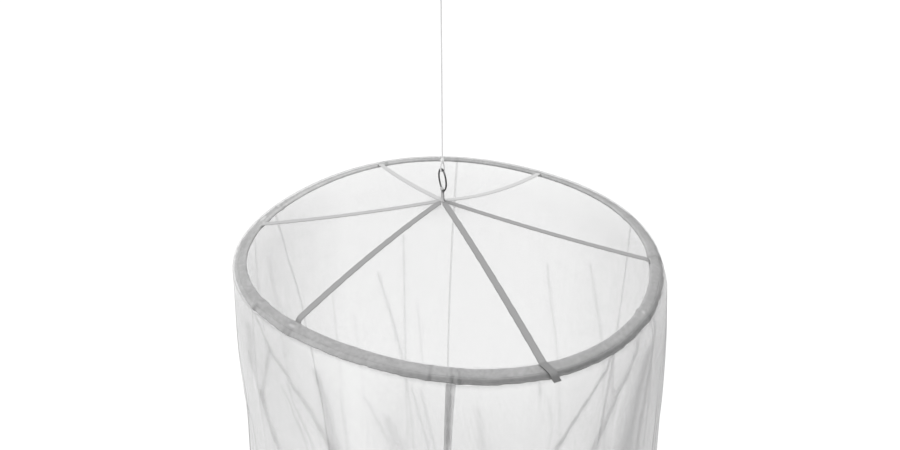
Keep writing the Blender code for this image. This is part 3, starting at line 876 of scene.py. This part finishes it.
TOP_LOOP_SIDE = ((0.72, 0.35), (1.0, 0.72), (0.62, 0.94))  # shares of its half width and height
FIBRE_TURNS = (2200.0, 3600.0)  # radians of the fibres' twist a metre round a strand and along it


def yarn_finish():
    material, start, shader = new_material("cord_yarn")
    place = start.cloth_place()
    across, along = place.split()
    fibres = (across * FIBRE_TURNS[0] + along * FIBRE_TURNS[1]).cos() * 0.5 + 0.5
    fuzz = start.noise(place, scale=1400.0)
    start.feed(shader["Base Color"], (fibres * 0.4 + fuzz * 0.6).between(0.25, 0.75).blend(*CORD_TONES))
    start.feed(shader["Roughness"], 0.70 + fuzz * 0.2)
    start.feed(shader["Normal"], (fibres + fuzz).bump(distance=0.00010, strength=0.7))
    shader["Specular IOR Level"].default_value = 0.25
    return material


yarn = yarn_finish()


def smooth_line(route, spacing):
    """Evenly spaced points on a smooth curve through a route."""
    route = np.asarray(route, float)
    knots = np.concatenate([[2 * route[0] - route[1]], route, [2 * route[-1] - route[-2]]])
    share = np.linspace(0.0, 1.0, CURVE_STEPS, endpoint=False)[:, None]
    parts = [curve(*near, share) for near in zip(knots, knots[1:], knots[2:], knots[3:])]
    line = np.concatenate([*parts, route[-1:]])
    run = run_length(line, 0)
    places = np.linspace(0.0, run[-1], max(CURVE_LEAST, round(run[-1] / spacing)))
    return np.stack([np.interp(places, run, line[:, axis]) for axis in range(3)], axis=-1)


def joined(name, pieces):
    """One object from several, which it replaces."""
    with bpy.context.temp_override(active_object=pieces[0], selected_editable_objects=pieces):
        bpy.ops.object.join()
    pieces[0].name = name
    pieces[0].data.name = name
    return pieces[0]


def rope(name, path):
    """Three strands laid round a path."""
    sides, ups = frames_along(path)
    turn = run_length(path, 0) / CORD_LAY * 2 * math.pi
    strands = []
    for index in range(STRANDS):
        phase = turn + index * 2 * math.pi / STRANDS
        strand = path + STRAND_OFFSET * (sides * np.cos(phase)[:, None] + ups * np.sin(phase)[:, None])
        strands.append(swept(f"{name}_{index}", strand, STRAND_RADIUS, STRAND_SIDES, yarn))
    return joined(name, strands)


def knot(name, height):
    """A tight overhand knot: the yarn wraps round itself three times, between two bights."""
    turn = np.linspace(0.0, KNOT_TURNS * 2 * math.pi, KNOT_STEPS)
    rise = np.linspace(-1.0, 1.0, KNOT_STEPS)
    waist = KNOT_WAIST * np.sqrt(1 - (KNOT_TAPER * rise) ** 2)
    path = np.stack([waist * np.cos(turn), waist * np.sin(turn) * KNOT_OVAL,
                     height + rise * (KNOT_HEIGHT / 2 - CORD_DIAMETER / 2)], axis=-1)
    core = height + np.linspace(-1.0, 1.0, KNOT_CORE_STEPS)[:, None] * (KNOT_HEIGHT / 2)
    return joined(name, [rope(f"{name}_wrap", path), rope(f"{name}_core", core * straight_up)])


def cord_node(piece, node):
    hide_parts(node)
    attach(piece, "root")
    return piece


def make_cord():
    wire = ring_middle + straight_up * RING_RADIUS
    half_way = straight_up * EYE_HEIGHT / 2 + ring_across * EYE_RADIUS
    route = [wire + straight_up * EYE_HEIGHT - ring_across * CORD_PAIR,
             wire + half_way - ring_across * 2 * EYE_RADIUS]
    for turn in np.radians((180, 225, 270, 315, 360)):
        route.append(wire + EYE_RADIUS * (ring_across * math.cos(turn) + straight_up * math.sin(turn)))
    route += [wire + half_way, wire + straight_up * EYE_HEIGHT + ring_across * CORD_PAIR]
    eye = cord_node(rope("cord_eye_yarn", smooth_line(route, CORD_STEP)), "cord_eye")

    low_end, high_end = (np.array(corner)[2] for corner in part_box("cord"))
    heights = np.linspace(low_end, high_end, round((high_end - low_end) / CORD_STEP))
    path = heights[:, None] * straight_up
    run = cord_node(rope("cord_run", path), "cord")
    lower = cord_node(knot("cord_knot_low", low_end - KNOT_GAP - KNOT_HEIGHT / 2), "cord_knot_lower")
    upper = cord_node(knot("cord_knot_high", high_end + KNOT_GAP + KNOT_HEIGHT / 2), "cord_knot_upper")

    crown = CORD_DIAMETER / 2
    foot = crown - TOP_LOOP_HEIGHT
    left = [(-CORD_PAIR, foot), *((-side * TOP_LOOP_HALF_WIDTH, foot + up * TOP_LOOP_HEIGHT)
                                  for side, up in TOP_LOOP_SIDE)]
    right = [(-side, height) for side, height in left[::-1]]
    loop_route = [(side, 0.0, height) for side, height in left + [(0.0, crown)] + right]
    loop = cord_node(rope("cord_top_loop_yarn", smooth_line(loop_route, CORD_STEP)), "cord_top_loop")


make_cord()


# Wall. Six breadths of net, gathered a little where they are sewn to the casing's lower outer side,
# flaring to a wide hem. Narrow seams join them, and two hemmed edges overlap at the front.
NET_DROP = 2.150  # hoop's centre down to the hem
WALL_RADIUS = 0.332  # about, at the top
FLARE = 0.200
FLARE_DEPTH = 1.43
SEAM_SETTLE = 0.45  # metres down over which the seams come to where they hang
FOLD_GROWTH = 1.4
FOLD_SWING = 3.0
OPENING_LAP = 0.93  # degrees that each free edge reaches past the middle of the opening
LAP_PARTS = 12  # it is taken up in one of so many parts of a breadth's width
LAP_SHARES = (0.45, 0.75)  # of the hidden edge's lap: low down, and added at the top
OPENING_SLANT = 0.07  # metres down over which the hidden edge comes to lie under the other one
HEMMED_SHARE = 0.5  # of its hem's layers that a free edge shows low down
LAP_STEP = 0.0020  # that the outer free edge stands off from the hidden one
LAP_STEP_PARTS = 3  # it comes back over one of so many parts of its breadth
WALL_FOOT = 0.0103  # from the hoop's line out to the wall's top edge
WALL_BELOW = 0.0003  # and down to it
COLUMN_STEP = 0.28  # degrees
ROW_STEPS = ((0.26, 0.0026), (0.80, 0.012), (3.0, 0.032))  # down to this depth, this far apart
EDGE_ROW = 0.002  # a row more lies this close to the top and to the hem's stitching
HEM_DEPTH = 0.012
HEADING_DEPTH = 0.006

Panel = namedtuple("Panel", "name seam_top seam_low cut_width")
PANELS = (
    Panel("back_right", 13.2, 20.5, 0.75),
    Panel("back_left", 86.8, 93.1, 0.58),
    Panel("left", 162.3, 139.5, 0.82),
    Panel("front_left", 216.8, 219.0, 0.52),
    Panel("front_right", 270.95, 270.05, 0.55),
    Panel("right", 321.8, 317.0, 0.68),
)

Fold = namedtuple("Fold", "angle_top angle_hem half_width height")  # degrees, and metres at the hem
FOLDS = [Fold(*row) for row in (
    (9, 13, 9.5, 0.044), (27, 32, 8, 0.030), (46, 49, 10.5, 0.050), (66, 67, 8, 0.028),
    (82, 85, 9, 0.040), (101, 103, 8.5, 0.032), (120, 113, 9, 0.046), (138, 128, 8, 0.027),
    (156, 143, 9.5, 0.042), (175, 163, 9, 0.036), (192, 183, 8, 0.028), (208, 204, 10, 0.048),
    (224, 224, 8, 0.030), (243, 243, 9.5, 0.040), (258, 259, 7.5, 0.022), (283, 281, 8.5, 0.034),
    (300, 296, 9, 0.046), (316, 312, 8, 0.030), (334, 331, 10, 0.044), (352, 352, 8.5, 0.032),
)]

Ripple = namedtuple("Ripple", "wavelength phase drift swell")
RIPPLES = (  # degrees of the hoop, degrees of phase, its drift a metre down, and waves of its strength
    Ripple(2.45, 20, 160, 7),
    Ripple(3.43, 150, -120, 5),
    Ripple(5.14, 260, 90, 9),
    Ripple(7.83, 70, -60, 4),
)
RIPPLE_TOP = 0.0003
RIPPLE_HEM = 0.0034
RIPPLE_GROWTH = 1.2
RIPPLE_WANDER = 50.0  # degrees of phase
RIPPLE_WANDER_DRIFT = 70.0  # degrees a metre down
RIPPLE_SWELL = 0.45  # share of a ripple's height that comes and goes
RIPPLE_SWELL_DRIFT = 150.0
RIPPLE_UNIT = 3.43  # the wavelength of a ripple with the whole height
RIPPLE_POWER = 0.8

Crease = namedtuple("Crease", "angle_top angle_low bow layers top low wide_top wide_low relief fade")
CREASES = [Crease(*row[:4], *(length / 1000.0 for length in row[4:])) for row in (
    # hoop angles of the two ends, the bow between, and the layers that it adds; then, in millimetres,
    # the depths of its ends, its width at each, its height and the length over which it fades
    # left of the opening
    (218.5, 224, 0, 2.4, 5, 40, 6, 8, 0.6, 10),
    (224, 219.5, 0, 2.6, 40, 130, 6, 7, 0.6, 10),
    (219, 224.5, -1, 3, 130, 220, 9, 18, 1.2, 300),
    (213.5, 219, -1.5, 1.6, 80, 130, 7, 6, 0.6, 10),
    (224, 243.5, 2, 3, 40, 150, 7, 15, 1, 300),
    (239.5, 244, 0.5, 2.8, 30, 145, 10, 21, 1.4, 350),
    (227.5, 234.5, 1, 1.3, 90, 160, 4, 6, 0.6, 150),
    (230, 236.5, 0, 1.2, 80, 155, 4, 6, 0.6, 150),
    (246, 248, 0, 0.8, 50, 140, 4, 8, 0.6, 200),
    (257.5, 260, 0, 1.5, 60, 100, 9, 15, 1, 50),
    (252.5, 258.5, 0, 0.9, 45, 105, 5, 8, 0.5, 100),
    (263, 266, 0, 1.5, 10, 80, 2.4, 3, 0.6, 400),
    (265, 268, 0, 1.5, 15, 95, 2.6, 3.4, 0.6, 200),
    (214, 215, 0, 1.7, 30, 90, 22, 26, 1, 20),
    (203.5, 211.5, 2, 1.6, 200, 290, 6, 8, 0.8, 400),
    (214.5, 216.5, 0.5, -0.8, 120, 220, 8, 12, -0.6, 100),
    # right of the opening
    (288.5, 288.5, 0, 1.8, 0, 15, 4, 4, 0.4, 10),
    (290, 291, 0.5, 0.7, 25, 90, 4, 4, 0.4, 50),
    (276.5, 278, 0, 1.2, 30, 120, 6, 12, 0.6, 300),
    (306, 292.5, -1, 6.5, 0, 105, 3, 3.4, 0.6, 300),
    (306, 306, -0.5, 1.6, 5, 55, 5, 8, 0.6, 20),
    (315.5, 301, -1.5, 4, 5, 130, 9, 8, 1.2, 300),
    (319.5, 311, -1.5, 4.2, 30, 180, 14, 40, 2.2, 500),
    (324, 316.5, -1.5, 4.6, 5, 195, 6, 8, 1, 500),
    (310, 307, -0.5, -1.2, 55, 120, 6, 8, -0.6, 50),
    (337, 333, 1, 2, 60, 300, 6, 8, 0.8, 500),
    # the back, seen through the roof
    (173.5, 173, 0, 1.4, 10, 160, 4, 5, 0.8, 100),
    (166, 163.5, 0, 0.9, 100, 260, 8, 16, 1, 200),
    (117.5, 110, -0.5, 1.5, 315, 625, 6, 8, 1.2, 500),
    (107.5, 108, 0, 1.3, 210, 610, 5, 6, 1, 500),
    (103, 102, 0, 0.7, 450, 620, 5, 6, 0.8, 300),
    (137, 136, 0, 0.8, 300, 465, 6, 8, 0.8, 300),
    (128, 127, 0, 0.5, 420, 520, 6, 8, 0.8, 300),
    (49, 44, 0.5, 1, 240, 465, 6, 10, 1, 400),
    (31, 25, 0, 1.2, 180, 330, 6, 10, 1, 400),
)]
CREASE_START = 0.014  # metres over which a crease comes up
CREASE_RUN_ON = 0.25
CREASE_STEEPEST = 60.0  # degrees of the hoop a metre down
CREASE_CORE = 0.8  # share of its layers that lie within its width, and not in the soft edges
CREASE_EDGES = 3.0  # how many times as wide these are
CREASE_OFFSET = 0.03  # metres down over which the creases' relief comes up from the casing
BULGE_OFFSET = 0.015  # and the bulges'

GATHERS = (  # places round the hoop, and how many layers the gathered net makes there under the casing
    (15, 2.4), (40, 1.4), (60, 1.1), (130, 1.2), (160, 2.7), (180, 2.7), (200, 1.5), (215, 1.1),
    (250, 0.8), (260, 1.7), (285, 1.6), (300, 2), (325, 3.2), (355, 3.2),
)
GATHER_FADE = 1.4  # metres down over which the net spreads out again
GATHER_START = 0.05
GATHER_SHARE = 0.72  # of its layers, right at the casing
GATHER_MOST = 1.6  # times GATHER_START down, where they stop growing

Bulge = namedtuple("Bulge", "angle half_width depth half_depth out")
BULGES = (  # where the net stands off from an even hang or falls in, in degrees and metres
    Bulge(345, 60, 0.10, 0.15, 0.0076),
    Bulge(345, 60, 0.40, 0.22, 0.0100),
    Bulge(195, 60, 0.14, 0.07, 0.0016),
    Bulge(195, 60, 0.28, 0.10, -0.0040),
)

SEAM_HALF_WIDTH = 0.0024
SEAM_LAYERS = 5.0
EDGE_HEM_WIDTH = 0.0063
CLOSING_HEM_LAYERS = 3.8  # of the free edge that ends at the opening
OPENING_HEM_LAYERS = 8.3  # of the free edge that begins there, over the other one
HEM_LAYERS = 3.0
HEADING_LAYERS = 3.5


def row_depths(drop):
    depths = [0.0]
    for limit, step in ROW_STEPS:
        while depths[-1] < min(limit, drop) - step * 0.5:
            depths.append(depths[-1] + step)
    depths = np.array(depths) * drop / depths[-1]
    return np.sort(np.append(depths, [drop - HEM_DEPTH, drop - HEM_DEPTH - EDGE_ROW, EDGE_ROW]))


def fold_height(angle, share):
    total = np.zeros(angle.shape)
    for fold in FOLDS:
        middle = fold.angle_top + (fold.angle_hem - fold.angle_top) * np.minimum(1, share * FOLD_SWING)
        away = np.clip(nearest_turn(angle, middle) / fold.half_width, -1.0, 1.0)
        total += fold.height * share ** FOLD_GROWTH * (1 + np.cos(np.pi * away)) / 2
    return total


def ripple_height(angle, depth):
    size = RIPPLE_TOP + (RIPPLE_HEM - RIPPLE_TOP) * (depth / NET_DROP) ** RIPPLE_GROWTH
    total = np.zeros(angle.shape)
    for ripple in RIPPLES:
        wander = np.cos(np.radians(angle * (ripple.swell + 2) + RIPPLE_WANDER_DRIFT * depth))
        phase = 360 * angle / ripple.wavelength + ripple.phase + ripple.drift * depth
        wave = np.cos(np.radians(phase + RIPPLE_WANDER * wander))
        turn = np.radians(ripple.swell * angle + ripple.phase * 2 + RIPPLE_SWELL_DRIFT * depth)
        swell = 1 - RIPPLE_SWELL + RIPPLE_SWELL * np.cos(turn)
        total += size * swell * wave * (ripple.wavelength / RIPPLE_UNIT) ** RIPPLE_POWER
    return total


def crease_shape(angle, depth, metres_a_degree):
    """The relief of all the creases, and how many layers they add."""
    relief = np.zeros(angle.shape)
    layers = np.zeros(angle.shape)
    for crease in CREASES:
        length = crease.low - crease.top
        swing = crease.angle_low - crease.angle_top
        share = np.clip((depth - crease.top) / length, 0.0, 1.0)
        beyond = np.maximum(0.0, depth - crease.low)
        slope = np.clip((swing - 4 * crease.bow) / length, -CREASE_STEEPEST, CREASE_STEEPEST)
        middle = crease.angle_top + swing * share + 4 * crease.bow * share * (1 - share)
        middle = middle + slope * CREASE_RUN_ON * (1 - np.exp(-beyond / CREASE_RUN_ON))
        wide = (crease.wide_top + (crease.wide_low - crease.wide_top) * share) / 2
        away = nearest_turn(angle, middle) * metres_a_degree / wide
        rise = np.clip((depth - crease.top) / CREASE_START + 0.5, 0.0, 1.0)
        there = rise * rise * (3 - 2 * rise) * np.exp(-beyond / crease.fade)
        core = hump(away, 1)
        relief += crease.relief * there * core
        layers += crease.layers * there * (CREASE_CORE * core + (1 - CREASE_CORE) * hump(away, CREASE_EDGES))
    return relief, layers


def gathered(angle, depth):
    """Layers of the gathered net, and how far it bulges."""
    full = round_hoop(angle, *zip(*GATHERS))
    come = GATHER_SHARE + (1 - GATHER_SHARE) * np.clip(depth / GATHER_START, 0.0, GATHER_MOST)
    bulge = np.zeros(angle.shape)
    for place in BULGES:
        near = hump(nearest_turn(angle, place.angle), place.half_width)
        bulge += place.out * near * hump(depth - place.depth, place.half_depth)
    return 1 + (full * come - 1) * np.exp(-depth / GATHER_FADE), bulge


def make_panel(panel, following):
    span_top = angle_from(panel.seam_top, following.seam_top)
    span_low = angle_from(panel.seam_low, following.seam_low)
    opens, closes = panel.name == "front_right", following.name == "front_right"
    columns = round(max(span_top, span_low) / COLUMN_STEP) + 1
    share = np.linspace(0.0, 1.0, columns)
    at_end, at_start = (np.clip(1 - part * LAP_PARTS, 0, 1) for part in (1 - share, share))
    lap = OPENING_LAP * (closes * at_end - opens * at_start)
    top = panel.seam_top + span_top * share
    low = panel.seam_low + span_low * share
    edge = section_point(top + lap, WALL_FOOT, -WALL_BELOW)
    hem = hoop_centre[2] - NET_DROP
    drop = edge[:, 2] - hem
    rows = row_depths(drop.mean()) / drop.mean()
    depth = rows[:, None] * drop[None]
    near_top = np.exp(-depth / OPENING_SLANT)
    slant = 1.0 if opens else LAP_SHARES[0] + LAP_SHARES[1] * near_top
    angle = top + lap * slant + (low - top) * (1 - np.exp(-depth / SEAM_SETTLE))
    flare = FLARE * (1 - np.exp(-depth / FLARE_DEPTH))
    metres_a_degree = np.radians(1.0) * (WALL_RADIUS + flare)

    crease_relief, crease_layers = crease_shape(angle, depth, metres_a_degree)
    relief = fold_height(angle, rows[:, None]) + ripple_height(angle, depth)
    relief += crease_relief * np.minimum(1.0, depth / CREASE_OFFSET)
    gather, bulge = gathered(angle, depth)
    relief += bulge * np.minimum(1.0, depth / BULGE_OFFSET)
    step_out = LAP_STEP * np.maximum(0.0, 1 - share * LAP_STEP_PARTS) * opens
    out = flare + relief + step_out
    grid = section_point(angle, WALL_FOOT, -WALL_BELOW) + out[..., None] * hoop_outward(angle)
    grid[..., 2] = edge[:, 2] - depth

    layers = gather + crease_layers
    hemmed = HEMMED_SHARE + (1 - HEMMED_SHARE) * near_top
    near_start = (angle - angle[:, :1]) * metres_a_degree
    near_end = (angle[:, -1:] - angle) * metres_a_degree
    for near, free, free_layers in ((near_start, opens, OPENING_HEM_LAYERS),
                                    (near_end, closes, CLOSING_HEM_LAYERS)):
        if free:
            layers += (free_layers - 1) * hemmed * (near < EDGE_HEM_WIDTH)
        else:
            layers += (SEAM_LAYERS - 1) / 2 * (near < SEAM_HALF_WIDTH)
    layers += (HEM_LAYERS - 1) * (depth > drop - HEM_DEPTH - EDGE_ROW / 2)
    layers += (HEADING_LAYERS - 1) * np.clip(1 - depth / HEADING_DEPTH, 0, 1)

    across = run_length(grid, 1)
    name = f"wall_net_{panel.name}"
    piece = cloth_mesh(name, grid, across, depth.mean(1)[:, None], {"layers": layers}, material=net)
    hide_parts(f"wall_panel_{panel.name}")
    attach(piece, "root")


for panel, following in neighbours(PANELS):
    make_panel(panel, following)


# Studio. A plain pale floor below the hem, even light from all round, a broad soft light above
# and another from the upper left.
FLOOR_BELOW_HEM = 0.03
FLOOR_COLOUR = (0.47, 0.47, 0.47, 1.0)
FLOOR_HALF_SIZE = 60.0
FLOOR_POINTS = 9
SKY_STRENGTH = 1.0

Lamp = namedtuple("Lamp", "name strength softness turns")
LAMPS = (  # softness and turns in degrees
    Lamp("top_light", 2.6, 50.0, (8.0, 0.0, 0.0)),
    Lamp("key_light", 2.4, 40.0, (0.0, -48.0, -20.0)),
)


def make_floor():
    height = hoop_centre[2] - NET_DROP - FLOOR_BELOW_HEM
    side = np.linspace(-FLOOR_HALF_SIZE, FLOOR_HALF_SIZE, FLOOR_POINTS)
    x, y = np.meshgrid(side, side)
    grid = np.stack([x, y, np.full(x.shape, height)], axis=-1)
    material, _, shader = new_material("floor_paint")
    shader["Base Color"].default_value = FLOOR_COLOUR
    shader["Roughness"].default_value = 0.9
    shader["Specular IOR Level"].default_value = 0.0
    return cloth_mesh("floor", grid, x, y, material=material)


def make_light(lamp):
    light = bpy.data.lights.new(lamp.name, "SUN")
    light.energy = lamp.strength
    light.angle = math.radians(lamp.softness)
    stand = bpy.data.objects.new(lamp.name, light)
    stand.rotation_euler = [math.radians(turn) for turn in lamp.turns]
    bpy.context.collection.objects.link(stand)


make_floor()
for lamp in LAMPS:
    make_light(lamp)
world = bpy.data.worlds.new("studio")
bpy.context.scene.world = world
world.use_nodes = True
sky = world.node_tree.nodes["Background"]
sky.inputs["Color"].default_value = (1.0, 1.0, 1.0, 1.0)
sky.inputs["Strength"].default_value = SKY_STRENGTH
bpy.context.scene.view_settings.view_transform = "Standard"
bpy.context.scene.cycles.transparent_max_bounces = 64
